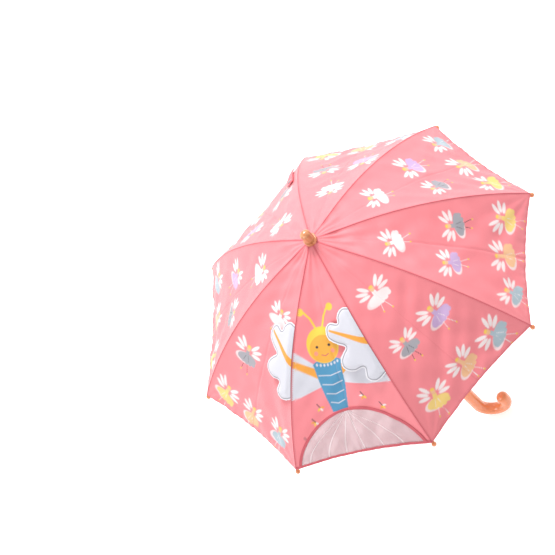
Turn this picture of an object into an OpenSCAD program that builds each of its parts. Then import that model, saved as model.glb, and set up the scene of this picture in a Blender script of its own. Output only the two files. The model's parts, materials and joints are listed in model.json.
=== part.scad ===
// Children's umbrella with eight ribs, a see-through front window and two sewn-on wing flaps.
// The shaft runs along Z, the open canopy is at the top, and the crook turns towards +X.
// The origin is the middle of the grip, on the shaft's axis.

/* [Canopy] */
// Distance from the shaft's axis to the middle of a rib tip, with the umbrella open
canopy_r = 330; // [310:5:350]
// Drop from the ribs' pivots to the rib tips, with the umbrella open
canopy_drop = 205; // [195:5:215]
// Slope of a rib where it leaves the crown, in degrees below level
rib_start_slope = 14; // [12:1:16]
// How far the fabric sags between two ribs
gore_sag = 9; // [4:1:12]
// Height of the window above the hem, as a share of the rib's length
window_share = 0.21; // [0.18:0.01:0.3]
// Length of a wing flap along its seam
wing_len = 128; // [110:2:136]
// How far a wing flap reaches out from its seam
wing_reach = 70; // [60:2:72]

/* [Shaft and handle] */
// Height of the ribs' pivots above the middle of the grip
crown_z = 613; // [600:5:640]
// Outside diameter of the shaft tube
shaft_d = 9; // [8.8:0.1:9.2]
// Diameter of the handle
handle_d = 22; // [20:1:24]
// Radius of the crook's centreline
crook_r = 26; // [24:1:32]

/* [Frame] */
// Where a stretcher meets its rib, as a share of the rib's length
joint_share = 0.45; // [0.42:0.01:0.47]
// Angle that a rib turns through from open to closed
fold_angle = 53; // [48:1:55]
// Width of a rib's channel section
rib_w = 3.2; // [3:0.1:3.4]
// Depth of a rib's channel section
rib_h = 2.6; // [2.4:0.1:2.8]

/* [Hidden] */
$fn = 48;
n_ribs = 8;
step = 360 / n_ribs;
half = step / 2;
window_turn = -90;               // direction that the window faces
first_rib = window_turn - half;  // rib 1 and rib 2 stand either side of the window
joint_gap = 0.1;                 // radial play of a turning joint
shaft_r = shaft_d / 2;
shaft_wall = 0.7;

// Rib arc in its own upright plane, x out from the shaft's axis and z up from the pivots
rib_pivot_r = 10;
chord_x = canopy_r - rib_pivot_r;
chord_slope = atan(canopy_drop / chord_x);
rib_turn = 2 * (chord_slope - rib_start_slope);
arc_r = norm([chord_x, canopy_drop]) / (2 * sin(rib_turn / 2));
arc_x = rib_pivot_r - arc_r * sin(rib_start_slope);
arc_z = -arc_r * cos(rib_start_slope);
rib_len = arc_r * rib_turn * PI / 180;
channel_start = 7;               // length of the flat tongue before the channel begins
channel_wall = 0.5;
tongue_t = 1.8;
eye_r = 1.9;
wire_r = 0.6;

// Rib tip
tip_r = 4.3;
tip_sleeve_r = 2.8;
tip_sleeve_len = 12;
tip_wall = 1.4;                  // plastic left beyond the rib's end

// Stretcher, as long as the distance from the rib's pivot to the joint, so the two fold alike
joint_slope = rib_start_slope + joint_share * rib_turn;
joint_x = arc_x + arc_r * sin(joint_slope);
joint_z = arc_z + arc_r * cos(joint_slope);
stretcher_len = norm([joint_x - rib_pivot_r, joint_z]);
stretcher_rise = atan2(-joint_z, joint_x - rib_pivot_r);
runner_drop = -2 * joint_z;
runner_travel = 2 * stretcher_len * (sin(stretcher_rise + fold_angle) - sin(stretcher_rise));
ear_len = 13;
ear_t = 0.7;
ear_gap = 0.2;
ear_r = 2;
rivet_r = 0.75;
bar_w = 2.4;
bar_h = 2.2;

// Canopy skin
skin_gap = 3.6;                   // from a rib's centreline to the skin's inner face
skin_t = 1.2;
skin_start = -0.006;             // share of the rib's length where the fabric begins, under the finial
hem_share = 0.987;
hem_cut = 0.018;                 // how much shorter a gore is at its middle
apex_lift = 3;
apex_share = 0.15;
seam_gap = 0.2;                  // from the middle of a gore to each piece's edge
window_half = 0.93;              // half the window's width, as a share of half a gore
window_gap = 0.0008;
skin_rows = 10;
gore_steps = [1, 0.8, 0.6, 0.4, 0.2, 0.08];
window_steps = [0.075, 0.09, 0.12, 0.17, 0.25, 0.37, 0.52, 0.68, 0.84, 1];

// Wing flaps
wing_left_share = 0.5;           // middle of the seam, as a share of the rib's length
wing_right_share = 0.47;
wing_t = 1.6;
wing_lift = 6.4;                 // hinge line above the rib's centreline
wing_lay = 16;                   // slope of a flap that lies on the gore beside its rib
wing_hem = 0.6;                  // from the hinge line to the flap's edge

// Tie strap
strap_t = 1;
strap_gap = 0.1;
snap_lift = 1;                   // keeps the press stud clear of the strap at its low edge

// Runner and crown
crown_r = 13.5;
crown_core_r = 7.2;
crown_low = -3.6;
crown_high = 2.2;
crown_slot_w = tongue_t + 0.4;
runner_r = 14.5;
runner_core_r = 7.2;
runner_high = 3.2;
runner_low = -5;
runner_len = 46;
runner_collar_r = 10.5;
runner_collar_h = 7;
runner_play = 0.1;
foot_slot_w = bar_w + 0.4;
foot_pin_len = 4.6;
foot_pin_slot = 2.4;

// Catches, with the bill's ledge at height 0 and the pivot below it
catch_t = 1.2;
catch_slot_w = 1.7;
catch_arm = 20;
catch_out = 2.1;                 // how far the bill stands out of the shaft
catch_pin_r = 0.6;
catch_pin_x = 1.6;
catch_gap = 0.3;
catch_slope = 0.8;               // fall of the ledge, which lets the catch be pressed in
top_catch_z = crown_z - runner_drop + runner_high - runner_len - catch_gap;
lower_catch_z = crown_z - runner_drop - runner_travel + runner_high + catch_gap;

// Handle and finial
grip_low = -38;
grip_high = 66;
crook_end = 8;
shaft_foot = 14;
shaft_top = crown_z + 22;
handle_pin_z = 52;
handle_pin_r = 1;
finial_z = crown_z + skin_gap + skin_t + apex_lift + 1.2;
finial_r = 9.3;
finial_flange_r = 11.5;
finial_flange_h = 6;
finial_h = 27;

function rib_azimuth(i) = first_rib + (i - 1) * step;
function slope_at(f) = rib_start_slope + f * rib_turn;
function rib_x(f) = arc_x + arc_r * sin(slope_at(f));
function rib_z(f) = arc_z + arc_r * cos(slope_at(f));
function mirrored(list) = concat([for (v = list) -v], [0], [for (k = [len(list) - 1:-1:0]) list[k]]);

// How far along the way to its full sag the skin is at v, where v is 0 on a rib and 1 at mid-gore
function belly(v) = 1 - pow(1 - abs(v), 2);
function sag_at(f, v) = f < 0 ? 0 : gore_sag * sin(150 * f) * belly(v);
function lift_at(f) = f < apex_share ? apex_lift * pow(1 - f / apex_share, 2) : 0;
function hem_at(v) = hem_share - hem_cut * belly(v);
function window_top(v) = hem_at(v) - window_share * sqrt(1 - pow((1 - abs(v)) / window_half, 2));

// A point of the skin in its rib's frame, off the rib's centreline by the distance off
function skin(f, v, off) =
    let (x = rib_x(f), b = slope_at(f), side = sign(v),
         w = abs(v) * (1 - seam_gap / (x * sin(half))) / 2,
         turn = half * side * min(1, 5 * abs(v)),
         out = off + lift_at(f) - sag_at(f, v))
    [x * (1 - w + w * cos(step)) + out * sin(b) * cos(turn),
     side * x * w * sin(step) + out * sin(b) * sin(turn),
     rib_z(f) + out * cos(b)];

// A closed sheet between two grids of points with the same rows and columns
module sheet(outer, inner) {
    rows = len(outer) - 1;
    cols = len(outer[0]) - 1;
    size = (rows + 1) * (cols + 1);
    function at(i, j) = i * (cols + 1) + j;
    function in(i, j) = size + at(i, j);
    points = concat([for (row = outer) each row], [for (row = inner) each row]);
    faces = concat(
        [for (i = [0:rows - 1], j = [0:cols - 1]) each
            [[at(i, j), at(i, j + 1), at(i + 1, j + 1)], [at(i, j), at(i + 1, j + 1), at(i + 1, j)]]],
        [for (i = [0:rows - 1], j = [0:cols - 1]) each
            [[in(i, j), in(i + 1, j + 1), in(i, j + 1)], [in(i, j), in(i + 1, j), in(i + 1, j + 1)]]],
        [for (i = [0:rows - 1]) each
            [[at(i, 0), at(i + 1, 0), in(i + 1, 0)], [at(i, 0), in(i + 1, 0), in(i, 0)]]],
        [for (i = [0:rows - 1]) each
            [[at(i + 1, cols), at(i, cols), in(i, cols)], [at(i + 1, cols), in(i, cols), in(i + 1, cols)]]],
        [for (j = [0:cols - 1]) each
            [[at(0, j + 1), at(0, j), in(0, j)], [at(0, j + 1), in(0, j), in(0, j + 1)]]],
        [for (j = [0:cols - 1]) each
            [[at(rows, j), at(rows, j + 1), in(rows, j + 1)], [at(rows, j), in(rows, j + 1), in(rows, j)]]]);
    polyhedron(points, faces, convexity = 8);
}

// A piece of skin between two edges, given as shares of the rib's length at each v
module skin_piece(vs, starts, ends, rows, low, high) {
    function grid(off) = [for (i = [0:rows])
        [for (j = [0:len(vs) - 1]) skin(starts[j] + (ends[j] - starts[j]) * i / rows, vs[j], off)]];
    sheet(grid(high), grid(low));
}

// Puts something drawn in a rib's upright plane on rib i
module on_rib(i) {
    translate([0, 0, crown_z]) rotate(rib_azimuth(i)) children();
}

// Puts something drawn with x along the rib at share f, y across it and z off it
module at_share(f) {
    translate([rib_x(f), 0, rib_z(f)]) rotate([0, slope_at(f), 0]) children();
}

// A bar along the rib's arc with the given section, from share f0 to share f1
module along_arc(f0, f1) {
    translate([arc_x, 0, arc_z])
        rotate([90, 0, 0])
            rotate(90 - slope_at(f1))
                rotate_extrude(angle = (f1 - f0) * rib_turn, $fn = 180)
                    translate([arc_r, 0]) children();
}

// A channel section that opens towards -x
module channel_section() {
    difference() {
        square([rib_h, rib_w], center = true);
        translate([-channel_wall, 0]) square([rib_h, rib_w - 2 * channel_wall], center = true);
    }
}

// A round pin or bore across a rib's plane
module cross_pin(r, len) {
    rotate([90, 0, 0]) cylinder(r = r, h = len, center = true);
}

// A flat bar along +x with a round eye at the origin
module tongue(len, h, t) {
    rotate([90, 0, 0]) linear_extrude(t, center = true) {
        circle(r = eye_r);
        translate([0, -h / 2]) square([len, h]);
    }
}

module rib(i) {
    color("silver") on_rib(i) difference() {
        union() {
            along_arc(channel_start / rib_len, 1) channel_section();
            translate([rib_pivot_r, 0, 0])
                rotate([0, rib_start_slope + 0.6, 0]) tongue(channel_start + 5, rib_h, tongue_t);
        }
        translate([rib_pivot_r, 0, 0]) cross_pin(wire_r + joint_gap, 2 * rib_w);
        translate([joint_x, 0, joint_z]) cross_pin(rivet_r, 2 * rib_w);
    }
}

module rib_tip(i) {
    sleeve = tip_sleeve_len;
    color("sandybrown") on_rib(i) at_share(1) difference() {
        union() {
            translate([tip_wall, 0, 0]) sphere(r = tip_r);
            translate([-sleeve, 0, 0]) rotate([0, 90, 0]) cylinder(r = tip_sleeve_r, h = sleeve + 1);
        }
        translate([-sleeve - 1, -rib_w / 2 - joint_gap, -rib_h / 2 - 3 * joint_gap])
            cube([sleeve + 1.1, rib_w + 2 * joint_gap, rib_h + 4 * joint_gap]);
    }
}

module rivet(i) {
    reach = rib_w / 2 + ear_gap + ear_t + joint_gap;
    color("gainsboro") on_rib(i) translate([joint_x, 0, joint_z]) {
        cross_pin(rivet_r, 2 * reach);
        for (side = [-1, 1]) translate([0, side * (reach + 0.2), 0]) cross_pin(1.5, 0.4);
    }
}

module stretcher(i) {
    inside = rib_w / 2 + ear_gap;
    color("silver") on_rib(i)
        translate([rib_pivot_r, 0, -runner_drop]) rotate([0, -stretcher_rise, 0]) difference() {
            union() {
                tongue(10, bar_h, tongue_t);
                cross_pin(rivet_r, foot_pin_len);
                translate([8, -bar_w / 2, -bar_h / 2])
                    cube([stretcher_len - ear_len - 7, bar_w, bar_h]);
                translate([stretcher_len - ear_len - 2, -inside - ear_t, -bar_h / 2])
                    cube([2, 2 * (inside + ear_t), bar_h]);
                for (side = [-1, 1]) translate([stretcher_len, side * (inside + ear_t / 2), 0]) {
                    translate([-ear_len - 1, -ear_t / 2, -bar_h / 2]) cube([ear_len + 1, ear_t, bar_h]);
                    cross_pin(ear_r, ear_t);
                }
            }
            translate([stretcher_len, 0, 0]) cross_pin(rivet_r + joint_gap, 3 * rib_w);
        }
}

module canopy(i) {
    low = skin_gap;
    high = skin_gap + skin_t;
    seams = mirrored(gore_steps);
    // The window's steps run from mid-gore to the rib, after one step on the rib's own side of it
    cut = concat([for (k = [len(window_steps) - 1:-1:0]) window_steps[k]], [window_steps[0] - 0.005]);
    has_window = i == 1 ? 1 : i == 2 ? -1 : 0;
    plain = has_window == 0 ? seams : concat(gore_steps, [0]);
    vs = has_window == 0 ? seams : has_window == 1
        ? concat([for (v = plain) -v], [for (k = [len(cut) - 1:-1:0]) cut[k]])
        : concat([for (v = cut) -v], [for (k = [len(plain) - 1:-1:0]) plain[k]]);
    ends = [for (v = vs) v * has_window >= window_steps[0] ? window_top(v) - window_gap : hem_at(v)];
    color("lightpink") on_rib(i)
        skin_piece(vs, [for (v = vs) skin_start], ends, skin_rows, low, high);
}

module window(i, side) {
    vs = side > 0 ? window_steps : [for (k = [len(window_steps) - 1:-1:0]) -window_steps[k]];
    color("mistyrose", 0.6) on_rib(i)
        skin_piece(vs, [for (v = vs) window_top(v) + window_gap], [for (v = vs) hem_at(v)], 6,
            skin_gap + 0.2, skin_gap + skin_t - 0.2);
}

// Outline of a flap, x along the seam towards the hem and y out from the seam
module wing_outline() {
    polygon([[0, wing_hem], [wing_len, wing_hem], [0.97 * wing_len, 0.3 * wing_reach],
             [0.7 * wing_len, 0.5 * wing_reach], [0.2 * wing_len, 0.6 * wing_reach],
             [0.02 * wing_len, 0.3 * wing_reach]]);
    for (lobe = [[0.13, 0.56, 0.25], [0.27, 0.56, 0.3], [0.6, 0.6, 0.33], [0.87, 0.27, 0.24]])
        translate([lobe[0] * wing_len, lobe[1] * wing_reach]) circle(r = lobe[2] * wing_reach);
}

module wing(i, share) {
    color("lavender") on_rib(i) at_share(share) translate([0, 0, wing_lift])
        rotate([180 + wing_lay, 0, 0])
            translate([-wing_len / 2, 0, -wing_t / 2]) linear_extrude(wing_t) wing_outline();
}

module crown() {
    color("dimgray") difference() {
        translate([0, 0, crown_z + crown_low]) cylinder(r = crown_r, h = crown_high - crown_low);
        translate([0, 0, crown_z - 10]) cylinder(r = shaft_r, h = 20);
        for (i = [1:n_ribs]) on_rib(i)
            translate([crown_core_r, -crown_slot_w / 2, crown_low - 1])
                cube([crown_r, crown_slot_w, crown_high - crown_low + 2]);
        translate([0, 0, crown_z]) rotate_extrude() translate([rib_pivot_r, 0]) circle(r = wire_r);
    }
}

module crown_wire() {
    color("silver") translate([0, 0, crown_z])
        rotate_extrude() translate([rib_pivot_r, 0]) circle(r = wire_r);
}

module runner() {
    foot_z = crown_z - runner_drop;
    color("dimgray") difference() {
        union() {
            translate([0, 0, foot_z + runner_low]) cylinder(r = runner_r, h = runner_high - runner_low);
            translate([0, 0, foot_z + runner_high - runner_len])
                cylinder(r = runner_core_r, h = runner_len);
            translate([0, 0, foot_z + runner_high - runner_len])
                cylinder(r = runner_collar_r, h = runner_collar_h);
        }
        translate([0, 0, foot_z - runner_len]) cylinder(r = shaft_r + runner_play, h = 2 * runner_len);
        for (i = [1:n_ribs]) translate([0, 0, foot_z]) rotate(rib_azimuth(i)) {
            translate([runner_core_r, -foot_slot_w / 2, runner_low - 1])
                cube([runner_r, foot_slot_w, runner_high - runner_low + 2]);
            translate([rib_pivot_r - foot_pin_slot / 2, -foot_pin_len / 2 - joint_gap, runner_low - 1])
                cube([foot_pin_slot, foot_pin_len + 2 * joint_gap, runner_high - runner_low + 2]);
        }
    }
}

module shaft() {
    color("gainsboro") difference() {
        translate([0, 0, shaft_foot]) cylinder(r = shaft_r, h = shaft_top - shaft_foot);
        translate([0, 0, shaft_foot - 1]) cylinder(r = shaft_r - shaft_wall, h = shaft_top);
        catch_places() translate([0, -catch_slot_w / 2, -catch_arm - 2])
            cube([2 * shaft_r, catch_slot_w, catch_arm + 2 + catch_slope]);
        catch_places() translate([catch_pin_x, 0, -catch_arm]) cross_pin(catch_pin_r, 2 * shaft_d);
        translate([0, 0, handle_pin_z]) cross_pin(handle_pin_r, 2 * shaft_d);
    }
}

// Puts something drawn at the top catch on both catches, the lower one upside down
module catch_places() {
    top_catch_place() children();
    lower_catch_place() children();
}

module top_catch_place() {
    translate([0, 0, top_catch_z]) rotate(window_turn) children();
}

module lower_catch_place() {
    translate([0, 0, lower_catch_z]) rotate(window_turn) mirror([0, 0, 1]) children();
}

module catch_leaf() {
    bill = shaft_r + catch_out;
    color("silver") difference() {
        rotate([90, 0, 0]) linear_extrude(catch_t, center = true) {
            polygon([[0.4, -catch_arm], [2.8, -catch_arm], [bill, -3 - catch_slope],
                     [bill, -catch_slope], [0.8, 0]]);
            translate([catch_pin_x, -catch_arm]) circle(r = 1.2);
        }
        translate([catch_pin_x, 0, -catch_arm]) cross_pin(catch_pin_r + joint_gap, 2 * catch_t);
    }
}

module top_catch() {
    top_catch_place() catch_leaf();
}

module lower_catch() {
    lower_catch_place() catch_leaf();
}

module catch_pins() {
    color("gray") catch_places()
        translate([catch_pin_x, 0, -catch_arm]) cross_pin(catch_pin_r, 2 * shaft_r - 1.2);
}

module handle() {
    color("sandybrown") difference() {
        union() {
            translate([0, 0, grip_low]) cylinder(d = handle_d, h = grip_high - grip_low);
            translate([crook_r, 0, grip_low]) rotate([90, 0, 0]) rotate(180)
                rotate_extrude(angle = 180) translate([crook_r, 0]) circle(d = handle_d);
            translate([2 * crook_r, 0, grip_low]) {
                cylinder(d = handle_d, h = crook_end);
                translate([0, 0, crook_end]) sphere(d = handle_d);
            }
        }
        translate([0, 0, shaft_foot]) cylinder(r = shaft_r, h = grip_high);
        translate([0, 0, handle_pin_z]) cross_pin(handle_pin_r, 2 * handle_d);
    }
}

module handle_pin() {
    color("gray") translate([0, 0, handle_pin_z]) cross_pin(handle_pin_r, handle_d - 1);
}

module finial() {
    neck = finial_flange_h;
    color("sandybrown") translate([0, 0, finial_z]) difference() {
        union() {
            cylinder(r = finial_flange_r, h = neck);
            translate([0, 0, neck]) cylinder(r = finial_r, h = finial_h - neck - finial_r / 2);
            translate([0, 0, finial_h - finial_r / 2]) intersection() {
                translate([0, 0, -finial_r / 2]) sphere(r = finial_r * sqrt(1.25));
                cylinder(r = finial_r, h = finial_r);
            }
        }
        translate([0, 0, -1]) cylinder(r = shaft_r, h = shaft_top - finial_z + 1);
    }
}

// The tie strap lies on a gore at the back, with its press stud near its free end
module strap() {
    vs = [0.16, 0.2, 0.24, 0.28, 0.32];
    top = skin_gap + skin_t;
    color("lightpink") on_rib(6)
        skin_piece(vs, [for (v = vs) 0.6], [for (v = vs) 0.9], 8, top + strap_gap, top + strap_gap + strap_t);
}

module strap_snap() {
    place = skin(0.64, 0.24, skin_gap + skin_t + strap_t + strap_gap + snap_lift);
    color("silver") on_rib(6) translate(place)
        rotate([0, 0, half]) rotate([0, slope_at(0.64), 0]) cylinder(r = 4.5, h = 2);
}

shaft();
handle();
handle_pin();
finial();
crown();
crown_wire();
catch_pins();
runner();
top_catch();
lower_catch();
window(1, 1);  // window_left
window(2, -1);  // window_right
wing(1, wing_left_share);  // wing_left
wing(2, wing_right_share);  // wing_right
strap();
strap_snap();
for (i = [1:n_ribs]) {
    rib(i);
    rib_tip(i);
    rivet(i);
    stretcher(i);
    canopy(i);
}
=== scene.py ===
# %% [markdown]
# # A child's umbrella
# The frame of this umbrella comes packed: shaft, crook handle, crown, runner, ribs and stretchers.
# Here it gets its soft parts and its finishes. The cover is printed cloth in eight panels, with a
# clear window in the front gore and two padded flaps sewn into the seams beside it.

# %% Load the frame
import json
import math

import bpy
import numpy as np
from mathutils import Matrix, Vector


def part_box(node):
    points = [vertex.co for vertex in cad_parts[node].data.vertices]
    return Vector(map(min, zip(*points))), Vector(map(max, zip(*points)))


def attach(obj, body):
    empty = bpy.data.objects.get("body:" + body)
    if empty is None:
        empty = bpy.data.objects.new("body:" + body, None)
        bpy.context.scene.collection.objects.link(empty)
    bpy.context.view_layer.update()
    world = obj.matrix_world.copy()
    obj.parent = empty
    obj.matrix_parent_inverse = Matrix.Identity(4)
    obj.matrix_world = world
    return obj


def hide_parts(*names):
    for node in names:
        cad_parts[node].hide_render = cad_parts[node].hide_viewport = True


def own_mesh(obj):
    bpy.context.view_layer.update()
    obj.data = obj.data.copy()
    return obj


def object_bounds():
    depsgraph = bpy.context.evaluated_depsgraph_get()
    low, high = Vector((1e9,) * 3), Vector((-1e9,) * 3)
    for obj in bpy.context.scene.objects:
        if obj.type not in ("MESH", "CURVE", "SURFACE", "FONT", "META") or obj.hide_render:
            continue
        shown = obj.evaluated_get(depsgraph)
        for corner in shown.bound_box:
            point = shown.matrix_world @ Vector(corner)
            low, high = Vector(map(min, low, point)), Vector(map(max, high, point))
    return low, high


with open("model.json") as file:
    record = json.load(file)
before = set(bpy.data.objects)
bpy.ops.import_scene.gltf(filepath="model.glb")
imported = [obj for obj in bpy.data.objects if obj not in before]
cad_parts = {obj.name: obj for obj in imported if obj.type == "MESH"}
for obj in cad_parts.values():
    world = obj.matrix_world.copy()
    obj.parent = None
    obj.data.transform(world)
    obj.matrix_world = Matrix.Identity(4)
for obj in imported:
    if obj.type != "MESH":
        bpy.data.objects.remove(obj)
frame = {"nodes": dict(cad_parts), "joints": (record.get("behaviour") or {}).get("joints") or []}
cad_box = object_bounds()
nodes = frame["nodes"]
joints = {joint["name"]: joint for joint in frame["joints"]}

# %% [markdown]
# ## Where the ribs lie
# Every rib is the same arc in its own upright plane. Three points fix that arc: the pivot at the
# crown, the rivet of the stretcher, and the ball at the tip. From the arc come the slope of the
# rib at any share f of its length, and with it the shape of the whole cover.

# %% Measure one rib's arc
MM = 0.001
RIBS = 8
STEP = math.tau / RIBS
TIP_RADIUS = 4.3 * MM
WINDOW_GORE = 1


def rib_turn(rib):
    x, y, _ = joints[f"rib_{rib}_fold"]["pos_m"]
    return math.atan2(y, x)


def rib_plane_point(position):
    return np.array([math.hypot(position[0], position[1]), position[2]])


low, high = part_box("rib_tip_5")
pivot = rib_plane_point(joints["rib_5_fold"]["pos_m"])
rivet = rib_plane_point(joints["stretcher_5_turn"]["pos_m"])
tip = np.array([(high.x - TIP_RADIUS) / math.cos(rib_turn(5)), low.z + TIP_RADIUS])

# The centre is as far from all three points: two straight equations in x and z
left = 2 * np.array([rivet - pivot, tip - pivot])
right = np.array([rivet @ rivet - pivot @ pivot, tip @ tip - pivot @ pivot])
arc_centre = np.linalg.solve(left, right)
arc_radius = np.linalg.norm(pivot - arc_centre)
start_slope = math.asin((pivot - arc_centre)[0] / arc_radius)
end_slope = math.asin((tip - arc_centre)[0] / arc_radius)
rib_length = arc_radius * (end_slope - start_slope)
crown_z = pivot[1]
print(f"rib {rib_length * 1000:.0f} mm long, from {math.degrees(start_slope):.1f} to "
      f"{math.degrees(end_slope):.1f} degrees below level")

# %% [markdown]
# ## The cover's surface
# A panel reaches from the middle of one gore, over its rib, to the middle of the next. The number
# v runs across it, from -1 to 1 with 0 on the rib, and f runs down it from crown to hem. Cloth
# between two ribs is pulled straight across and sags a little, most half way down.

# %% Shape of the cover
SKIN_OUT = 4.2 * MM            # the cloth's outer face above a rib's centreline
CLOTH_T = 0.35 * MM
SAG = 9 * MM
APEX_LIFT = 3.4 * MM
APEX_SHARE = 0.15
COVER_START = -0.006
HEM_SHARE = 0.987
HEM_CUT = 0.018
WINDOW_SHARE = 0.21
WINDOW_HALF = 0.93


def slope(f):
    return start_slope + f * (end_slope - start_slope)


def rib_radius(f):
    return arc_centre[0] + arc_radius * np.sin(slope(f))


def rib_height(f):
    return arc_centre[1] + arc_radius * np.cos(slope(f))


def belly(v):
    return 1 - (1 - np.abs(v)) ** 2


def hem(v):
    return HEM_SHARE - HEM_CUT * belly(v)


def window_top(v):
    reach = np.clip((1 - np.abs(v)) / WINDOW_HALF, 0, 1)
    return hem(v) - WINDOW_SHARE * np.sqrt(1 - reach**2)


def half_gore(f):
    return rib_radius(f) * math.sin(STEP / 2)


def skin(rib, f, v, off=0.0):
    """Points of the cover beside a rib, off its face by a distance."""
    x = rib_radius(f)
    b = slope(f)
    w = np.abs(v) / 2
    turn = STEP / 2 * np.sign(v) * np.minimum(1, 5 * np.abs(v))
    sag = SAG * np.sin(np.radians(150 * np.clip(f, 0, 1))) * belly(v)
    lift = APEX_LIFT * np.clip(1 - f / APEX_SHARE, 0, None) ** 2
    out = SKIN_OUT + off + lift - sag
    px = x * (1 - w + w * math.cos(STEP)) + out * np.sin(b) * np.cos(turn)
    py = np.sign(v) * x * w * math.sin(STEP) + out * np.sin(b) * np.sin(turn)
    pz = rib_height(f) + out * np.cos(b)
    c, s = math.cos(rib_turn(rib)), math.sin(rib_turn(rib))
    return np.stack([px * c - py * s, px * s + py * c, pz], -1)


# %% [markdown]
# ## Wrinkles
# Thin polyester stretched on ribs is never quite smooth. It gathers in small rays at the crown,
# puckers along the sewn hem, keeps a crease down the middle of each gore from lying folded, and
# has shallow wrinkles all over. They are sums of sines with fixed random directions, so that they
# come out the same each time and run on from one panel into the next.

# %% Wrinkle height
rng = np.random.default_rng(11)
wave_turn = rng.uniform(0, math.tau, 14)
wave_long = rng.uniform(22, 70, 14) * MM
wave_start = rng.uniform(0, math.tau, (RIBS + 1, 14))


def gore_place(rib, v):
    """The gore that a point of a panel lies on, and its share u across it, from -1 to 1."""
    gore = np.where(v >= 0, rib, rib - 1 if rib > 1 else RIBS)
    return gore, np.where(v >= 0, v - 1, v + 1)


def wrinkles(gore, u, f):
    across = u * half_gore(f)
    down = f * rib_length
    height = np.zeros_like(across)
    for k in range(14):
        phase = (across * math.cos(wave_turn[k]) + down * math.sin(wave_turn[k])) / wave_long[k]
        height += np.sin(math.tau * phase + wave_start[gore, k])
    height *= 0.26 * MM
    rays = 1.2 * MM * np.exp(-np.clip(f, 0, 1) / 0.22) * np.sin(9 * u + gore) * np.clip(f / 0.08, 0, 1)
    pulls = np.zeros_like(across)
    for side in (-1, 1):
        beside = side * half_gore(HEM_SHARE) - across
        above = HEM_SHARE * rib_length - down
        reach = np.hypot(beside, above)
        fan = np.arctan2(side * beside, np.maximum(above, 1e-6))
        pulls += np.sin(15 * fan + 2.3 * gore + side) * np.exp(-reach / (75 * MM)) * reach / (75 * MM)
    rays += 2.6 * MM * pulls * np.where(gore == WINDOW_GORE, 0.25, 1)
    to_hem = (hem(1 - np.abs(u)) - f) * rib_length
    puckers = 0.45 * MM * np.exp(-to_hem / (11 * MM)) * np.sin(across / (2.6 * MM) + 2 * gore)
    crease = -0.7 * MM * np.exp(-(across / (2.6 * MM)) ** 2) * np.clip(f * 4, 0, 1)
    taut = 1 - u**4
    to_rib = (1 - np.abs(u)) * half_gore(f)
    ridge = 0.8 * MM * np.exp(-(to_rib / (1.3 * MM)) ** 2) * np.clip(f * 12, 0, 1)
    return (height + rays + puckers) * taut + crease + ridge


# %% [markdown]
# ## Light, floor and camera
# The umbrella is lit as in a studio, by a white surround and one broad soft lamp high on the left.
# The camera looks down on the cover from a distance through a long lens, rolled so that the handle
# comes out at the lower right.

# %% Stage
bpy.context.scene.view_settings.view_transform = "Standard"
world = bpy.data.worlds.new("studio")
bpy.context.scene.world = world
world.use_nodes = True
world.node_tree.nodes["Background"].inputs["Color"].default_value = (1.0, 0.99, 0.985, 1)
world.node_tree.nodes["Background"].inputs["Strength"].default_value = 0.58


def aim(thing, place, target, roll=0.0):
    forward = (Vector(target) - Vector(place)).normalized()
    side = forward.cross(Vector((0, 0, 1))).normalized()
    up = side.cross(forward)
    turned = side * math.cos(roll) + up * math.sin(roll)
    upward = up * math.cos(roll) - side * math.sin(roll)
    axes = Matrix((turned, upward, -forward)).transposed().to_4x4()
    thing.matrix_world = Matrix.Translation(Vector(place)) @ axes


def soft_lamp(name, place, size, power):
    lamp = bpy.data.lights.new(name, "AREA")
    lamp.size = size
    lamp.energy = power
    thing = bpy.data.objects.new(name, lamp)
    bpy.context.scene.collection.objects.link(thing)
    aim(thing, place, (0, 0, crown_z - 0.1))


soft_lamp("key_lamp", (-0.3, 1.35, 2.5), 0.9, 62)
soft_lamp("side_lamp", (-1.5, -1.9, 1.6), 1.2, 22)

bpy.ops.object.select_all(action="DESELECT")
bpy.ops.mesh.primitive_plane_add(size=50, location=(0, 0, cad_box[0][2] - 0.5 * MM))
floor = bpy.context.active_object
floor.name = "floor"

CAMERA_TURN = math.radians(-49.1)
CAMERA_RISE = math.radians(50.2)
CAMERA_ROLL = math.radians(-46.5)
CAMERA_DISTANCE = 6.0
FOCAL_WIDTHS = 6.354           # focal length over the image's width
target = Vector((-0.1204, 0.0124, crown_z - 0.1))
towards = Vector((math.cos(CAMERA_RISE) * math.cos(CAMERA_TURN),
                  math.cos(CAMERA_RISE) * math.sin(CAMERA_TURN), math.sin(CAMERA_RISE)))
lens = bpy.data.cameras.new("camera")
lens.sensor_width = 36
lens.lens = lens.sensor_width * FOCAL_WIDTHS
lens.clip_end = 60
camera = bpy.data.objects.new("camera", lens)
bpy.context.scene.collection.objects.link(camera)
aim(camera, target + CAMERA_DISTANCE * towards, target, CAMERA_ROLL)
bpy.context.scene.camera = camera
print("camera", [round(x, 2) for x in camera.location])

# %% [markdown]
# ## Finishes
# Each finish is one material on the Principled shader. What several of them share, such as the fine
# weave and the slow drift of colour over a surface, is a node group that gives a number for every
# point, and each material mixes it in with its own strength.

# %% Node helpers
def colour(red, green, blue, alpha=1.0):
    """A colour as the eye sees it, turned into the linear values that shaders use."""
    linear = [c / 12.92 if c <= 0.04045 else ((c + 0.055) / 1.055) ** 2.4
              for c in (red / 255, green / 255, blue / 255)]
    return (*linear, alpha)


def start_group(name, inputs, outputs):
    group = bpy.data.node_groups.new(name, "ShaderNodeTree")
    for label, value in inputs:
        socket = group.interface.new_socket(label, in_out="INPUT", socket_type="NodeSocketFloat")
        socket.default_value = value
    for label in outputs:
        group.interface.new_socket(label, in_out="OUTPUT", socket_type="NodeSocketFloat")
    return group, group.nodes.new("NodeGroupInput"), group.nodes.new("NodeGroupOutput")


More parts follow.
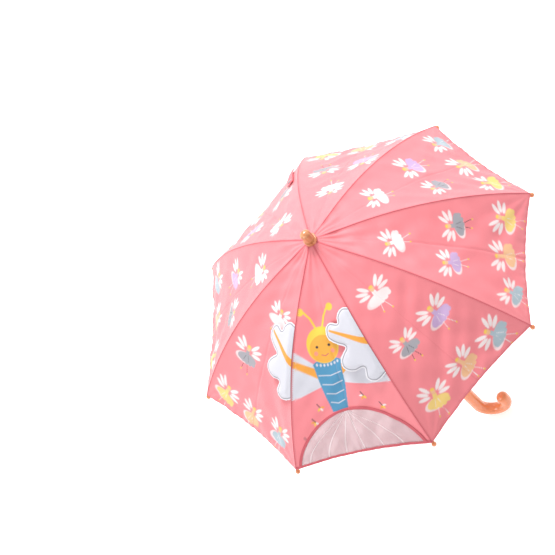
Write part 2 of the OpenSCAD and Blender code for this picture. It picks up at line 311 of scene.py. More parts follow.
def math_node(tree, operation, *values):
    node = tree.nodes.new("ShaderNodeMath")
    node.operation = operation
    for slot, value in zip(node.inputs, values):
        if isinstance(value, (int, float)):
            slot.default_value = value
        else:
            tree.links.new(value, slot)
    return node.outputs[0]


# %% Drift: slow change over a surface
drift, drift_in, drift_out = start_group("drift", [("Scale", 20.0), ("Amount", 1.0)], ["Shade"])
where = drift.nodes.new("ShaderNodeTexCoord")
cloud = drift.nodes.new("ShaderNodeTexNoise")
cloud.inputs["Detail"].default_value = 4
drift.links.new(where.outputs["Object"], cloud.inputs["Vector"])
drift.links.new(drift_in.outputs["Scale"], cloud.inputs["Scale"])
centred = math_node(drift, "SUBTRACT", cloud.outputs["Fac"], 0.5)
drift.links.new(math_node(drift, "MULTIPLY", centred, drift_in.outputs["Amount"]),
                drift_out.inputs["Shade"])

# %% Weave: crossing threads
weave, weave_in, weave_out = start_group("weave", [("Thread", 0.0005)], ["Height"])
place = weave.nodes.new("ShaderNodeUVMap")
place.uv_map = "cloth"
parts = weave.nodes.new("ShaderNodeSeparateXYZ")
weave.links.new(place.outputs["UV"], parts.inputs["Vector"])
threads = []
for axis in ("X", "Y"):
    turns = math_node(weave, "DIVIDE", parts.outputs[axis], weave_in.outputs["Thread"])
    threads.append(math_node(weave, "SINE", math_node(weave, "MULTIPLY", turns, math.tau)))
weave.links.new(math_node(weave, "MULTIPLY", threads[0], threads[1]), weave_out.inputs["Height"])


def finish(name, base, roughness, metallic=0.0):
    material = bpy.data.materials.new(name)
    material.use_nodes = True
    shader = material.node_tree.nodes["Principled BSDF"]
    shader.inputs["Base Color"].default_value = base
    shader.inputs["Roughness"].default_value = roughness
    shader.inputs["Metallic"].default_value = metallic
    return material, material.node_tree, shader


def place_group(tree, group, **values):
    node = tree.nodes.new("ShaderNodeGroup")
    node.node_tree = group
    for label, value in values.items():
        node.inputs[label].default_value = value
    return node


def tint(tree, source, shade, shader):
    """Lightens and darkens a colour by a shade before it reaches the shader."""
    change = tree.nodes.new("ShaderNodeHueSaturation")
    if isinstance(source, tuple):
        change.inputs["Color"].default_value = source
    else:
        tree.links.new(source, change.inputs["Color"])
    tree.links.new(math_node(tree, "ADD", shade, 1.0), change.inputs["Value"])
    tree.links.new(change.outputs["Color"], shader.inputs["Base Color"])


def bump(tree, height, shader, distance, strength=1.0):
    node = tree.nodes.new("ShaderNodeBump")
    node.inputs["Distance"].default_value = distance
    node.inputs["Strength"].default_value = strength
    tree.links.new(height, node.inputs["Height"])
    tree.links.new(node.outputs["Normal"], shader.inputs["Normal"])


def varied(name, base, roughness, metallic, scale, amount, rough_amount):
    """A hard finish whose colour and gloss drift over the surface."""
    material, tree, shader = finish(name, base, roughness, metallic)
    shade = place_group(tree, drift, Scale=scale, Amount=amount)
    tint(tree, base, shade.outputs["Shade"], shader)
    gloss = place_group(tree, drift, Scale=scale * 2.3, Amount=rough_amount)
    tree.links.new(math_node(tree, "ADD", gloss.outputs["Shade"], roughness),
                   shader.inputs["Roughness"])
    return material, tree, shader


# %% Stitches: a dashed line of thread at a distance from an edge
stitches, stitches_in, stitches_out = start_group(
    "stitches", [("Distance", 0.0), ("Along", 0.0), ("Inset", 0.004), ("Pitch", 0.0032)], ["Mask"])
off_line = math_node(stitches, "SUBTRACT", stitches_in.outputs["Distance"], stitches_in.outputs["Inset"])
off_line = math_node(stitches, "DIVIDE", math_node(stitches, "ABSOLUTE", off_line), 0.00035)
on_line = math_node(stitches, "SUBTRACT", 1.4, off_line)
on_line.node.use_clamp = True
turns = math_node(stitches, "DIVIDE", stitches_in.outputs["Along"], stitches_in.outputs["Pitch"])
dashes = math_node(stitches, "SINE", math_node(stitches, "MULTIPLY", turns, math.tau))
dashes = math_node(stitches, "MULTIPLY_ADD", dashes, 3.0, 1.6)
dashes.node.use_clamp = True
stitches.links.new(math_node(stitches, "MULTIPLY", on_line, dashes), stitches_out.inputs["Mask"])


# %% Printed cloth and plain cloth
def read_attribute(tree, name):
    node = tree.nodes.new("ShaderNodeAttribute")
    node.attribute_name = name
    return node


def sewn_thread(tree):
    """Masks of the two stitched lines on a panel: along its hem and beside its rib."""
    sewing = read_attribute(tree, "sewing")
    split = tree.nodes.new("ShaderNodeSeparateXYZ")
    tree.links.new(sewing.outputs["Vector"], split.inputs["Vector"])
    masks = []
    for distance, along, inset in ((split.outputs["X"], split.outputs["Y"], 0.0045),
                                   (split.outputs["Z"], sewing.outputs["Alpha"], 0.0024)):
        line = place_group(tree, stitches, Inset=inset)
        tree.links.new(distance, line.inputs["Distance"])
        tree.links.new(along, line.inputs["Along"])
        masks.append(line.outputs["Mask"])
    return math_node(tree, "MAXIMUM", *masks)


def cloth(name, attribute=None, base=None, roughness=0.62, thread=0.0005, depth=0.00004, sheen=0.25,
          sewn=False):
    material, tree, shader = finish(name, base or (1, 1, 1, 1), roughness)
    source = read_attribute(tree, attribute).outputs["Color"] if attribute else base
    threads = place_group(tree, weave, Thread=thread)
    height = threads.outputs["Height"]
    if sewn:
        mask = sewn_thread(tree)
        mix = tree.nodes.new("ShaderNodeMix")
        mix.data_type = "RGBA"
        tree.links.new(mask, mix.inputs[0])
        tree.links.new(source, mix.inputs[6])
        mix.inputs[7].default_value = colour(232, 122, 132)
        source = mix.outputs[2]
        height = math_node(tree, "MULTIPLY_ADD", mask, 6.0, height)
    shade = place_group(tree, drift, Scale=14.0, Amount=0.09)
    tint(tree, source, shade.outputs["Shade"], shader)
    bump(tree, height, shader, depth)
    shader.inputs["Sheen Weight"].default_value = sheen
    shader.inputs["Sheen Roughness"].default_value = 0.4
    return material


printed_cloth = cloth("printed_cloth", attribute="print", roughness=0.5, sewn=True)
wing_cloth = cloth("wing_cloth", attribute="print", roughness=0.5, thread=0.0007, depth=0.00006, sheen=0.4)
strap_cloth = cloth("strap_cloth", base=colour(232, 116, 128))
binding_cloth = cloth("binding_cloth", base=colour(216, 96, 108), thread=0.0008, depth=0.00008)

# %% Moulded and metal finishes
peach_gloss, peach_tree, peach_shader = varied("peach_gloss", colour(236, 146, 96), 0.22, 0.0, 28, 0.10, 0.12)
peach_shader.inputs["Coat Weight"].default_value = 0.6
peach_shader.inputs["Coat Roughness"].default_value = 0.08
peach_shader.inputs["Subsurface Weight"].default_value = 0.12
peach_shader.inputs["Subsurface Radius"].default_value = (0.006, 0.003, 0.0015)
white_plastic = varied("white_plastic", colour(236, 234, 230), 0.38, 0.0, 40, 0.05, 0.15)[0]
bright_steel = varied("bright_steel", colour(158, 160, 166), 0.3, 1.0, 60, 0.12, 0.18)[0]
plated_steel = varied("plated_steel", colour(172, 174, 180), 0.24, 1.0, 30, 0.08, 0.12)[0]

# %% Lacquered wood, with the grain along the shaft
wood, wood_tree, wood_shader = finish("lacquered_wood", colour(214, 158, 110), 0.3)
wood_place = wood_tree.nodes.new("ShaderNodeTexCoord")
wood_stretch = wood_tree.nodes.new("ShaderNodeMapping")
wood_stretch.inputs["Scale"].default_value = (260, 260, 30)
wood_grain = wood_tree.nodes.new("ShaderNodeTexNoise")
wood_grain.inputs["Scale"].default_value = 1.0
wood_grain.inputs["Detail"].default_value = 5
wood_tree.links.new(wood_place.outputs["Object"], wood_stretch.inputs["Vector"])
wood_tree.links.new(wood_stretch.outputs["Vector"], wood_grain.inputs["Vector"])
wood_colours = wood_tree.nodes.new("ShaderNodeValToRGB")
wood_colours.color_ramp.elements[0].color = colour(204, 122, 78)
wood_colours.color_ramp.elements[0].position = 0.3
wood_colours.color_ramp.elements[1].color = colour(240, 172, 124)
wood_colours.color_ramp.elements[1].position = 0.7
wood_tree.links.new(wood_grain.outputs["Fac"], wood_colours.inputs["Fac"])
wood_tree.links.new(wood_colours.outputs["Color"], wood_shader.inputs["Base Color"])
bump(wood_tree, wood_grain.outputs["Fac"], wood_shader, 0.00008)
wood_shader.inputs["Coat Weight"].default_value = 0.5
wood_shader.inputs["Coat Roughness"].default_value = 0.12

# %% Clear sheet with pale printed lines
clear_sheet, clear_tree, clear_shader = finish("clear_sheet", colour(236, 205, 205), 0.3)
sheet_print = read_attribute(clear_tree, "print")
clear_tree.links.new(sheet_print.outputs["Color"], clear_shader.inputs["Base Color"])
line_share = clear_tree.nodes.new("ShaderNodeSeparateColor")
sheet_lines = read_attribute(clear_tree, "lines")
clear_tree.links.new(sheet_lines.outputs["Color"], line_share.inputs["Color"])
clear_tree.links.new(math_node(clear_tree, "MULTIPLY_ADD", line_share.outputs["Red"], 0.34, 0.58),
                     clear_shader.inputs["Alpha"])

# %% Plain floor, clear from below so that the frame under the cover can be looked at
floor_paint, floor_tree, floor_shader = varied("floor_paint", colour(250, 250, 250), 0.7, 0.0, 3, 0.01, 0.05)
floor_shader.inputs["Emission Color"].default_value = (1, 1, 1, 1)
floor_shader.inputs["Emission Strength"].default_value = 0.45
side_seen = floor_tree.nodes.new("ShaderNodeNewGeometry")
floor_tree.links.new(math_node(floor_tree, "SUBTRACT", 1.0, side_seen.outputs["Backfacing"]),
                     floor_shader.inputs["Alpha"])
floor.data.materials.append(floor_paint)


def dress(piece, material):
    if not piece.material_slots:
        piece.data.materials.append(material)
    for place in piece.material_slots:
        place.material = material


for name, node in nodes.items():
    if name == "finial":
        dress(node, wood)
    elif name == "handle" or name.startswith("rib_tip"):
        dress(node, peach_gloss)
    elif name in ("crown", "runner"):
        dress(node, white_plastic)
    elif name == "shaft":
        dress(node, plated_steel)
    else:
        dress(node, bright_steel)

# %% [markdown]
# ## The print
# The print is painted on the cloth as a colour at each point of a dense mesh. Every motif is made
# of a few ellipses and lines placed on the flat gore, so it bends with the cloth. The small ones
# are bell flowers with white petals. The front gore has one large butterfly above the window.

# %% Paint helpers
EDGE = 0.9 * MM
PINK = colour(252, 142, 150)
# Dark pink of the seams and hem, also used for the painted shade along each gore's middle crease
SEAM_AND_SHADE_PINK = colour(214, 92, 104)
WHITE = colour(253, 238, 238)
SILVER = colour(222, 222, 232)
LILAC = colour(208, 176, 220)
GREY = colour(170, 168, 176)
BLUE_GREY = colour(178, 196, 206)
YELLOW = colour(252, 216, 130)
PEACH = colour(250, 196, 150)
ORANGE = colour(248, 168, 62)
GOLD = colour(252, 212, 76)
BLUE = colour(78, 152, 194)
DARK = colour(52, 44, 52)


class Paint:
    """Colours at points of the flat cloth: x across, y down from the crown, in metres."""

    def __init__(self, x, y, ground):
        self.x, self.y = x, y
        self.rgb = np.tile(np.array(ground), (len(x), 1))

    def lay(self, distance, paint, strength=1.0):
        cover = np.clip(0.5 - distance / EDGE, 0, 1)[:, None] * strength
        self.rgb = self.rgb * (1 - cover) + np.array(paint) * cover

    def oval(self, cx, cy, long, wide, turn, paint, strength=1.0):
        """An ellipse with half axes long and wide, its long axis turned from straight down."""
        dx, dy = self.x - cx, self.y - cy
        along = dx * math.sin(turn) + dy * math.cos(turn)
        side = dx * math.cos(turn) - dy * math.sin(turn)
        size = np.sqrt((along / long) ** 2 + (side / wide) ** 2)
        self.lay((size - 1) * min(long, wide), paint, strength)

    def line(self, points, width, paint):
        points = np.array(points)
        distance = np.full(len(self.x), 1.0)
        for a, b in zip(points[:-1], points[1:]):
            d = b - a
            t = np.clip(((self.x - a[0]) * d[0] + (self.y - a[1]) * d[1]) / (d @ d), 0, 1)
            gap = np.hypot(self.x - a[0] - t * d[0], self.y - a[1] - t * d[1])
            distance = np.minimum(distance, gap)
        self.lay(distance - width / 2, paint)

    def patch(self, points, paint, strength=1.0):
        """A filled outline, whose points go round in order."""
        inside = np.zeros(len(self.x), bool)
        distance = np.full(len(self.x), 1.0)
        points = np.array(points)
        for a, b in zip(points, np.roll(points, -1, 0)):
            d = b - a
            crosses = (a[1] > self.y) != (b[1] > self.y)
            rise = d[1] if abs(d[1]) > 1e-12 else 1e-12
            inside ^= crosses & (self.x < a[0] + (self.y - a[1]) * d[0] / rise)
            t = np.clip(((self.x - a[0]) * d[0] + (self.y - a[1]) * d[1]) / (d @ d), 0, 1)
            distance = np.minimum(distance, np.hypot(self.x - a[0] - t * d[0], self.y - a[1] - t * d[1]))
        self.lay(np.where(inside, -distance, distance), paint, strength)


# %% One bell flower
def bell_flower(paint, cx, cy, size, turn, bell, dark_lines=False):
    def spot(side, down):
        return (cx + size * (side * math.cos(turn) + down * math.sin(turn)),
                cy + size * (down * math.cos(turn) - side * math.sin(turn)))

    line_paint = DARK if dark_lines else WHITE
    for side in (-1, 1):
        for reach, lean in ((0.66, 2.45), (0.7, 2.05), (0.62, 1.65)):
            x, y = spot(side * reach * math.sin(lean), reach * math.cos(lean))
            paint.oval(x, y, 0.34 * size, 0.105 * size, turn + side * lean, WHITE)
    for side, foot in ((-0.22, 1.18), (0.3, 1.28)):
        paint.line([spot(0, 0.4), spot(side * 0.7, foot - 0.3), spot(side, foot)], 0.9 * MM, line_paint)
        paint.oval(*spot(side, foot), 1.7 * MM, 1.3 * MM, turn, GOLD)
    paint.oval(*spot(-0.06, 0.42), 0.33 * size, 0.76 * size, turn + 0.12, WHITE, 0.8)
    paint.oval(*spot(0.05, 0.38), 0.31 * size, 0.7 * size, turn + 0.12, bell)
    for k in (-2, -1, 0, 1, 2):
        paint.oval(*spot(0.27 * k + 0.05, 0.62 - 0.035 * k * k), 0.14 * size, 0.15 * size, turn, bell)
        paint.line([spot(0.04 * k, 0.12), spot(0.2 * k, 0.56)], 0.7 * MM, line_paint if k % 2 else bell)
    paint.oval(*spot(0, 0.02), 0.24 * size, 0.13 * size, turn, GREY if dark_lines else bell)
    paint.oval(*spot(0, -0.26), 0.17 * size, 0.14 * size, turn, PEACH)
    paint.oval(*spot(0, -0.38), 0.08 * size, 0.13 * size, turn, GOLD, 0.8)


# %% Where the bell flowers stand on a gore
BELL_ROWS = (
    (0.35, ((-0.05, WHITE),)),
    (0.62, ((-0.43, LILAC), (0.42, GREY))),
    (0.875, ((-0.62, BLUE_GREY), (0.0, PEACH), (0.62, YELLOW))),
)
BELL_SIZE = 30 * MM
FLAP_GORE = 8


def bell_print(paint, gore):
    pick = np.random.default_rng(100 + gore)
    for down, flowers in BELL_ROWS:
        for share, bell in flowers:
            place = share * (1 if gore % 2 else -1) + pick.uniform(-0.06, 0.06)
            if gore == FLAP_GORE and place > 0 and down == BELL_ROWS[1][0]:
                continue           # the left flap lies here
            x = place * half_gore(down)
            y = (down + pick.uniform(-0.02, 0.02)) * rib_length
            bell_flower(paint, x, y, BELL_SIZE * pick.uniform(0.9, 1.08), pick.uniform(-0.45, 0.45),
                        bell, bell is GREY)


# %% The butterfly above the window
LEAN = -14 * MM                # how far the butterfly stands left of the gore's middle


def butterfly(paint):
    top, waist, foot = 206 * MM, 250 * MM, window_foot
    for side in (-1, 1):
        edge = side * 120 * MM
        paint.patch([(LEAN + side * 16 * MM, 212 * MM), (LEAN + side * 60 * MM, 168 * MM), (edge, 140 * MM),
                     (edge, 262 * MM), (LEAN + side * 60 * MM, 257 * MM), (LEAN + side * 18 * MM, 246 * MM)],
                    SILVER)
        paint.patch([(LEAN + side * 18 * MM, 216 * MM), (LEAN + side * 60 * MM, 189 * MM), (edge, 168 * MM),
                     (edge, 182 * MM), (LEAN + side * 60 * MM, 203 * MM), (LEAN + side * 18 * MM, 235 * MM)],
                    ORANGE)
        feeler = [(LEAN + side * 5 * MM, 146 * MM), (LEAN + side * 12 * MM, 124 * MM),
                  (LEAN + side * 20 * MM, 112 * MM), (LEAN + side * 26 * MM, 110 * MM)]
        paint.line(feeler, 3.4 * MM, GOLD)
        paint.oval(feeler[-1][0], feeler[-1][1], 7 * MM, 6 * MM, 0, GOLD)
    paint.patch([(LEAN - 25 * MM, top), (LEAN + 25 * MM, top), (LEAN + 21 * MM, waist), (LEAN + 14 * MM, foot),
                 (LEAN - 14 * MM, foot), (LEAN - 21 * MM, waist)], BLUE)
    paint.oval(LEAN, top, 7 * MM, 25 * MM, 0, BLUE)
    for bead in range(-3, 4):
        paint.oval(LEAN + bead * 6.2 * MM, top + (4.5 - 0.4 * bead**2) * MM, 2.6 * MM, 1.7 * MM, 0, SILVER)
    for stripe in range(4):
        down = top + (20 + 17 * stripe) * MM
        reach = (20 - 2.6 * stripe) * MM
        paint.line([(LEAN - reach, down), (LEAN, down + 4 * MM), (LEAN + reach, down)], 1.6 * MM, SILVER)
    paint.oval(LEAN, 174 * MM, 33 * MM, 28 * MM, 0, GOLD)
    paint.oval(LEAN, 181 * MM, 25 * MM, 24 * MM, 0, ORANGE, 0.75)
    for side in (-1, 1):
        paint.oval(LEAN + side * 11 * MM, 176 * MM, 2.4 * MM, 2.4 * MM, 0, DARK)
        paint.oval(LEAN + side * 15 * MM, 187 * MM, 4 * MM, 3.5 * MM, 0, PINK, 0.7)
    paint.line([(LEAN - 6 * MM, 191 * MM), (LEAN, 194 * MM), (LEAN + 6 * MM, 191 * MM)], 1.6 * MM, SEAM_AND_SHADE_PINK)


def small_flowers(paint):
    for x, y, turn in ((-48, 282, 0.4), (-64, 306, -0.5), (-88, 336, 0.8), (34, 276, -0.6), (62, 300, 0.5)):
        for leaf in range(3):
            lean = turn + (leaf - 1) * 1.1
            paint.oval((x + 4 * math.sin(lean)) * MM, (y + 4 * math.cos(lean)) * MM, 3.6 * MM, 1.7 * MM, lean,
                       (GOLD, WHITE, ORANGE)[(leaf + x) % 3])
        paint.line([(x * MM, y * MM), ((x - 4) * MM, (y - 7) * MM)], 1.6 * MM, DARK)


window_foot = (HEM_SHARE - HEM_CUT - WINDOW_SHARE) * rib_length


def gore_colours(gore, u, f):
    """Colour of the print at points of a gore, with its darker seams and a faint painted shade along the crease
    down the middle.
    """
    x, y = u * half_gore(f), f * rib_length
    rgb = np.zeros((len(u), 4))
    for number in np.unique(gore):
        here = gore == number
        paint = Paint(x[here], y[here], PINK)
        if number == WINDOW_GORE:
            butterfly(paint)
            small_flowers(paint)
        else:
            bell_print(paint, int(number))
        to_rib = (1 - np.abs(u[here])) * half_gore(f[here])
        paint.lay(to_rib - 1.3 * MM, SEAM_AND_SHADE_PINK, 0.85)
        to_hem = (hem(1 - np.abs(u[here])) - f[here]) * rib_length
        paint.lay(to_hem - 2.6 * MM, SEAM_AND_SHADE_PINK, 0.55)
        # A faint painted shade, in the seam colour, darkens the crease down the middle of the gore
        paint.lay(np.abs(x[here]) - 0.3 * MM, SEAM_AND_SHADE_PINK, 0.16)
        rgb[here] = paint.rgb
    return rgb


# %% [markdown]
# ## Making a panel
# A panel starts as the flat grid primitive. Its points are moved to the cover's surface, and
# Solidify then gives it the thickness of cloth. Panels meet in the middle of a gore, so their
# shading normals are worked out from the whole surface, and no line shows where two of them join.

# %% Grid helpers
def new_grid(name, columns, rows):
    bpy.ops.object.select_all(action="DESELECT")
    bpy.ops.mesh.primitive_grid_add(x_subdivisions=columns, y_subdivisions=rows, size=2)
    piece = bpy.context.active_object
    piece.name = piece.data.name = name
    return piece


def read_points(piece):
    points = np.zeros(len(piece.data.vertices) * 3)
    piece.data.vertices.foreach_get("co", points)
    return points.reshape(-1, 3)


def move_points(piece, points):
    piece.data.vertices.foreach_set("co", np.asarray(points, float).ravel())
    piece.data.update()


def write_colours(piece, name, rgba):
    layer = piece.data.color_attributes.new(name, "FLOAT_COLOR", "POINT")
    layer.data.foreach_set("color", np.asarray(rgba, np.float32).ravel())


def lay_uv(piece, across, down):
    """The piece's UV map, in metres over the flat cloth."""
    piece.data.uv_layers[0].name = "cloth"
    corner = np.zeros(len(piece.data.loops), int)
    piece.data.loops.foreach_get("vertex_index", corner)
    piece.data.uv_layers[0].data.foreach_set("uv", np.stack([across[corner], down[corner]], -1).ravel())


def apply_modifier(piece, kind, **settings):
    modifier = piece.modifiers.new(kind.title(), kind)
    for label, value in settings.items():
        setattr(modifier, label, value)
    bpy.ops.object.select_all(action="DESELECT")
    piece.select_set(True)
    bpy.context.view_layer.objects.active = piece
    bpy.ops.object.modifier_apply(modifier=modifier.name)


def surface(rib, f, v, off):
    gore, u = gore_place(rib, v)
    return skin(rib, f, v, off + wrinkles(gore, u, f))


def surface_normals(rib, f, v, off):
    tiny = 0.0015
    across = surface(rib, f, v + tiny, off) - surface(rib, f, v - tiny, off)
    down = surface(rib, f + tiny, v, off) - surface(rib, f - tiny, v, off)
    normal = np.cross(down, across)
    return normal / np.linalg.norm(normal, axis=1)[:, None]


def cloth_sheet(name, rib, v, starts, ends, rows, off=0.0, thick=CLOTH_T, smooth=True):
    """A sheet on the cover beside a rib, between two edges given at each column v."""
    piece = new_grid(name, len(v) - 1, rows)
    flat = read_points(piece)
    column = np.rint((flat[:, 0] + 1) / 2 * (len(v) - 1)).astype(int)
    share = (1 - flat[:, 1]) / 2
    vs = v[column]
    f = starts[column] + (ends[column] - starts[column]) * share
    move_points(piece, surface(rib, f, vs, off))
    gore, u = gore_place(rib, vs)
    lay_uv(piece, u * half_gore(f) + gore * 0.3, f * rib_length)
    normals = surface_normals(rib, f, np.clip(vs, -0.9985, 0.9985), off)
    apply_modifier(piece, "SOLIDIFY", thickness=thick, offset=-1)
    for face in piece.data.polygons:
        face.use_smooth = True
    if smooth:
        piece.data.normals_split_custom_set_from_vertices(np.concatenate([normals, -normals]))
    return piece, np.tile(gore, 2), np.tile(u, 2), np.tile(f, 2)


# %% The eight panels
half = np.concatenate([[0, 0.005, 0.010, 0.016, 0.024], np.linspace(0.036, 1, 72)])
across = np.concatenate([-half[:0:-1], half])
ROWS = 300
INSIDE_PALER = 0.35            # how far the print fades on the inside of the cloth


def edge_of(rib, v):
    """The lower edge of a panel's cloth: the window's arch beside the front gore, else the hem."""
    gore, _ = gore_place(rib, v)
    return np.where(gore == WINDOW_GORE, window_top(v), hem(v))


panels = {}
for rib in range(1, RIBS + 1):
    panel, gore, u, f = cloth_sheet(f"panel_{rib}", rib, across, np.full(len(across), COVER_START),
                                    edge_of(rib, across), ROWS)
    rgba = gore_colours(gore, u, f)
    inside = slice(len(rgba) // 2, None)
    rgba[inside] = rgba[inside] * (1 - INSIDE_PALER) + np.array(colour(250, 190, 194)) * INSIDE_PALER
    write_colours(panel, "print", rgba)
    to_hem = (hem(1 - np.abs(u)) - f) * rib_length
    to_rib = (1 - np.abs(u)) * half_gore(f)
    write_colours(panel, "sewing", np.stack([to_hem, u * half_gore(f), to_rib, f * rib_length], -1))
    dress(panel, printed_cloth)
    panels[rib] = panel
print("panels", len(panels), "with", len(panels[1].data.polygons), "faces each")

# %% [markdown]
# ## The window
# Clear sheet fills the arch cut out of the front gore, so that a child can see ahead. It is in two
# halves, because each half must move with its own rib. Pale curved lines are printed on it, and a
# woven binding covers the stitching along the arch and the hem.

# %% Clear sheet
FAN_LINES = (-1.0, -0.62, -0.25, 0.12, 0.5, 0.9)
film_v = np.linspace(0.07, 1, 90)
UNDER_BINDING = 0.008


def fan_of_lines(u, f):
    x, y = u * half_gore(f), f * rib_length
    start = window_foot
    end = HEM_SHARE * rib_length
    t = np.clip((y - start) / (end - start), 0, 1)
    cover = np.zeros(len(u))
    for reach in FAN_LINES:
        line = LEAN * 0.4 + reach * 92 * MM * np.sin(t * math.pi / 2) ** 1.2
        width = (0.9 + 0.9 * t) * MM
        cover = np.maximum(cover, np.clip(1.2 - np.abs(x - line) / width, 0, 1))
    return cover


films = []
for rib, side in ((WINDOW_GORE, 1), (WINDOW_GORE + 1, -1)):
    v = np.sort(side * film_v)
    film, gore, u, f = cloth_sheet(f"window_sheet_{rib}", rib, v, window_top(v) - UNDER_BINDING, hem(v), 60,
                                   off=-0.3 * MM, thick=0.3 * MM)
    lines = fan_of_lines(u, f)[:, None]
    write_colours(film, "print", np.array(colour(198, 150, 158)) * (1 - lines)
                  + np.array(colour(250, 236, 238)) * lines)
    write_colours(film, "lines", np.tile(lines, (1, 4)))
    dress(film, clear_sheet)
    films.append(film)
print("window sheets", [len(film.data.polygons) for film in films])


# %% Narrow strips that follow the cloth
def ribbon(name, rib, xs, ys, width, off, thick, rows=6):
    """A strip along a path on a gore beside a rib, given in metres over the flat cloth."""
    piece = new_grid(name, len(xs) - 1, rows)
    flat = read_points(piece)
    column = np.rint((flat[:, 0] + 1) / 2 * (len(xs) - 1)).astype(int)
    lean = np.stack([np.gradient(xs), np.gradient(ys)], -1)
    lean /= np.linalg.norm(lean, axis=1)[:, None]
    shift = flat[:, 1] * width / 2
    x = xs[column] - lean[column, 1] * shift
    y = ys[column] + lean[column, 0] * shift
    f = y / rib_length
    gore_side = 1 if xs.mean() < 0 else -1
    v = np.clip(gore_side + x / half_gore(f), -1, 1) if gore_side > 0 else np.clip(x / half_gore(f) - 1, -1, 1)
    edge_round = (1 - np.abs(flat[:, 1]) ** 4) * thick * 0.5
    move_points(piece, surface(rib, f, v, off + edge_round))
    run = np.concatenate([[0], np.cumsum(np.hypot(np.diff(xs), np.diff(ys)))])
    lay_uv(piece, run[column], shift)
    bpy.ops.object.mode_set(mode="EDIT")
    bpy.ops.mesh.select_all(action="SELECT")
    if lean[:, 0].mean() * 1 > 0 or abs(lean[:, 0].mean()) < 1e-6:
        bpy.ops.mesh.flip_normals()
    bpy.ops.object.mode_set(mode="OBJECT")
    apply_modifier(piece, "SOLIDIFY", thickness=thick, offset=-1)
    for face in piece.data.polygons:
        face.use_smooth = True
    return piece


bindings = {WINDOW_GORE: [], WINDOW_GORE + 1: []}
for rib, side in ((WINDOW_GORE, -1), (WINDOW_GORE + 1, 1)):
    turn = np.linspace(0.02, math.pi / 2, 70)
    reach = WINDOW_HALF * np.cos(turn)
    f = hem(1 - reach) - WINDOW_SHARE * np.sin(turn)
    arch = ribbon(f"window_binding_{rib}", rib, side * reach * half_gore(f), f * rib_length, 5 * MM,
                  0.5 * MM, 0.6 * MM)
    u = np.linspace(0.995, 0.0, 90)
    f = hem(1 - u) - 2.2 * MM / rib_length
    foot = ribbon(f"window_hem_{rib}", rib, side * u * half_gore(f), f * rib_length, 4.4 * MM,
                  0.45 * MM, 0.6 * MM)
    for strip in (arch, foot):
        dress(strip, binding_cloth)
        bindings[rib].append(strip)

# %% [markdown]
# ## The tie strap
# A short strap is sewn to the back of the cover. It holds the closed umbrella together with a
# press stud, which comes with the frame.

# %% Strap
STRAP_RIB = 6
STRAP_V = 0.24
f = np.linspace(0.6, 0.9, 60)
strap = ribbon("tie_strap", STRAP_RIB, (STRAP_V - 1) * half_gore(f), f * rib_length, 15 * MM, 2.0 * MM, 1.2 * MM,
               rows=12)
dress(strap, strap_cloth)

# %% [markdown]
# ## The padded flaps
# Each flap is two layers of silver cloth with thin wadding between them, stitched round just
# inside the edge. It starts as a flat outline, is given a body and remeshed, and then a cloth
# simulation with air pressure inside swells it. The stitching is pressed in afterwards.

# %% Outline of a flap
FLAP_EDGE = [(-64, 0), (-68, 8), (-66, 18), (-59, 27), (-51, 31), (-58, 41), (-57, 51), (-49, 58), (-38, 61),
             (-28, 57), (-18, 49), (-9, 41), (-3, 50), (5, 60), (17, 64), (28, 58), (35, 46), (37, 31),
             (45, 33), (54, 36), (63, 31), (68, 21), (67, 9), (64, 0)]


def smooth_path(points, steps):
    """A curve through all the points, by Catmull and Rom's formula."""
    p = np.array([points[0], *points, points[-1]], float)
    curve = []
    for k in range(1, len(p) - 2):
        for t in np.arange(steps) / steps:
            curve.append(0.5 * (2 * p[k] + (p[k + 1] - p[k - 1]) * t
                                + (2 * p[k - 1] - 5 * p[k] + 4 * p[k + 1] - p[k + 2]) * t**2
                                + (3 * p[k] - p[k - 1] - 3 * p[k + 1] + p[k + 2]) * t**3))
    return np.array([*curve, p[-2]])


flap_edge = smooth_path(FLAP_EDGE, 6) * MM


def distance_to_path(x, y, path):
    gap = np.full(len(x), 1.0)
    for a, b in zip(path[:-1], path[1:]):
        d = b - a
        t = np.clip(((x - a[0]) * d[0] + (y - a[1]) * d[1]) / (d @ d), 0, 1)
        gap = np.minimum(gap, np.hypot(x - a[0] - t * d[0], y - a[1] - t * d[1]))
    return gap


# %% Swell a flap
FLAP_BODY = 2.2 * MM
SWELL_LIMIT = 1.9 * MM


def swell(piece):
    start = read_points(piece)
    simulation = piece.modifiers.new("Swelling", "CLOTH")
    simulation.settings.use_pressure = True
    simulation.settings.uniform_pressure_force = 4
    simulation.settings.effector_weights.gravity = 0
    for step in range(1, 21):
        bpy.context.scene.frame_set(step)
    bpy.ops.object.modifier_apply(modifier=simulation.name)
    bpy.context.scene.frame_set(1)
    move = read_points(piece) - start
    far = np.linalg.norm(move, axis=1)[:, None]
    move_points(piece, start + move * np.minimum(1, SWELL_LIMIT / np.maximum(far, 1e-9)))
    print(piece.name, f"swelled by {far.mean() * 1000:.2f} mm")


def flap_body(name):
    bpy.ops.object.select_all(action="DESELECT")
    outline = np.concatenate([flap_edge, [[0.03, 0], [0, 0], [-0.03, 0]]])
    bpy.ops.mesh.primitive_circle_add(vertices=len(outline), radius=1, fill_type="NGON")
    piece = bpy.context.active_object
    piece.name = piece.data.name = name
    move_points(piece, np.concatenate([outline, np.zeros((len(outline), 1))], 1))
    apply_modifier(piece, "SOLIDIFY", thickness=FLAP_BODY, offset=0)
    bpy.ops.object.mode_set(mode="EDIT")
    bpy.ops.mesh.select_all(action="SELECT")
    bpy.ops.mesh.normals_make_consistent(inside=False)
    bpy.ops.object.mode_set(mode="OBJECT")
    apply_modifier(piece, "REMESH", mode="VOXEL", voxel_size=1.8 * MM)
    swell(piece)
    apply_modifier(piece, "SUBSURF", levels=1, render_levels=1)
    return piece


# %% Stitch, print and place a flap
STITCH_IN = 4.0 * MM
BAND = np.array([(-46, 49), (-38, 41), (-27, 30), (-15, 18), (-5, 8), (2, 0)]) * MM


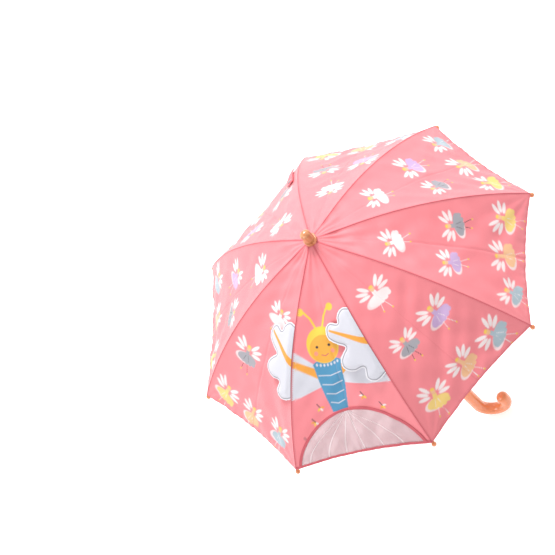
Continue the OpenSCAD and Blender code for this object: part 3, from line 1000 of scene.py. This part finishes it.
def finish_flap(piece, joint_name, rib):
    x, d, h = read_points(piece).T
    to_edge = distance_to_path(x, d, flap_edge)
    groove = np.exp(-((to_edge - STITCH_IN) / (1.3 * MM)) ** 2)
    thin = np.clip(to_edge / (7 * MM), 0.42, 1) * np.clip(d / (9 * MM), 0.45, 1)
    quilt = 1 - 0.12 * np.sin(x / (11 * MM)) * np.sin(d / (9 * MM))
    h = h * thin * (1 - 0.5 * groove) * quilt + 0.5 * MM * np.clip(d / (10 * MM), -1, 1)
    h -= 1.1 * MM * np.clip(1 - d / (6 * MM), 0, 1)
    joint = joints[joint_name]
    t = -np.array(joint["axis"])
    beside = np.array([-math.sin(rib_turn(rib)), math.cos(rib_turn(rib)), 0])
    normal = np.cross(t, beside)
    out = -math.cos(FLAP_LAY) * beside - math.sin(FLAP_LAY) * normal
    up = math.cos(FLAP_LAY) * normal - math.sin(FLAP_LAY) * beside
    place = np.array(joint["pos_m"])
    bow = x**2 / (2 * arc_radius)
    move_points(piece, place + np.outer(x, t) + np.outer(d, out) + np.outer(h, up) - np.outer(bow, normal))
    bpy.ops.object.select_all(action="DESELECT")
    piece.select_set(True)
    bpy.context.view_layer.objects.active = piece
    bpy.ops.object.mode_set(mode="EDIT")
    bpy.ops.mesh.select_all(action="SELECT")
    bpy.ops.mesh.normals_make_consistent(inside=False)
    bpy.ops.object.mode_set(mode="OBJECT")
    paint = Paint(x, d, SILVER)
    band_gap = distance_to_path(x, d, BAND)
    paint.lay(band_gap - np.clip(5.4 * MM - d * 0.075, 1.4 * MM, None), ORANGE)
    paint.lay(to_edge - STITCH_IN + 1.2 * MM, colour(246, 244, 250))
    paint.lay(np.abs(to_edge - STITCH_IN) - 0.7 * MM, colour(112, 110, 122), 0.85)
    write_colours(piece, "print", paint.rgb)
    layer = piece.data.uv_layers[0] if piece.data.uv_layers else piece.data.uv_layers.new(name="cloth")
    layer.name = "cloth"
    corner = np.zeros(len(piece.data.loops), int)
    piece.data.loops.foreach_get("vertex_index", corner)
    layer.data.foreach_set("uv", np.stack([x[corner], d[corner]], -1).ravel())
    for face in piece.data.polygons:
        face.use_smooth = True
    dress(piece, wing_cloth)


FLAP_LAY = math.radians(16)
flaps = {}
for name, joint_name, rib in (("left_flap", "wing_left_open", 1), ("right_flap", "wing_right_open", 2)):
    flaps[name] = flap_body(name)
    finish_flap(flaps[name], joint_name, rib)
    print(name, len(flaps[name].data.polygons), "faces")

# %% [markdown]
# ## What moves with what
# Every panel rides on its rib. The flaps turn on their own seams.


def go_with_rib(piece, rib):
    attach(piece, f"rib_{rib}_panel")
    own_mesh(piece)


for rib, panel in panels.items():
    go_with_rib(panel, rib)
    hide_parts(f"canopy_{rib}")
    strips = bindings.get(rib, [])
    for strip in strips:
        go_with_rib(strip, rib)
for film, rib, node in zip(films, (WINDOW_GORE, WINDOW_GORE + 1), ("window_left", "window_right")):
    go_with_rib(film, rib)
    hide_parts(node)
go_with_rib(strap, STRAP_RIB)
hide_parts("strap")
for name, body, rib in (("left_flap", "wing_left", 1), ("right_flap", "wing_right", 2)):
    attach(flaps[name], body)
    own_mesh(flaps[name])
    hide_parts(body)
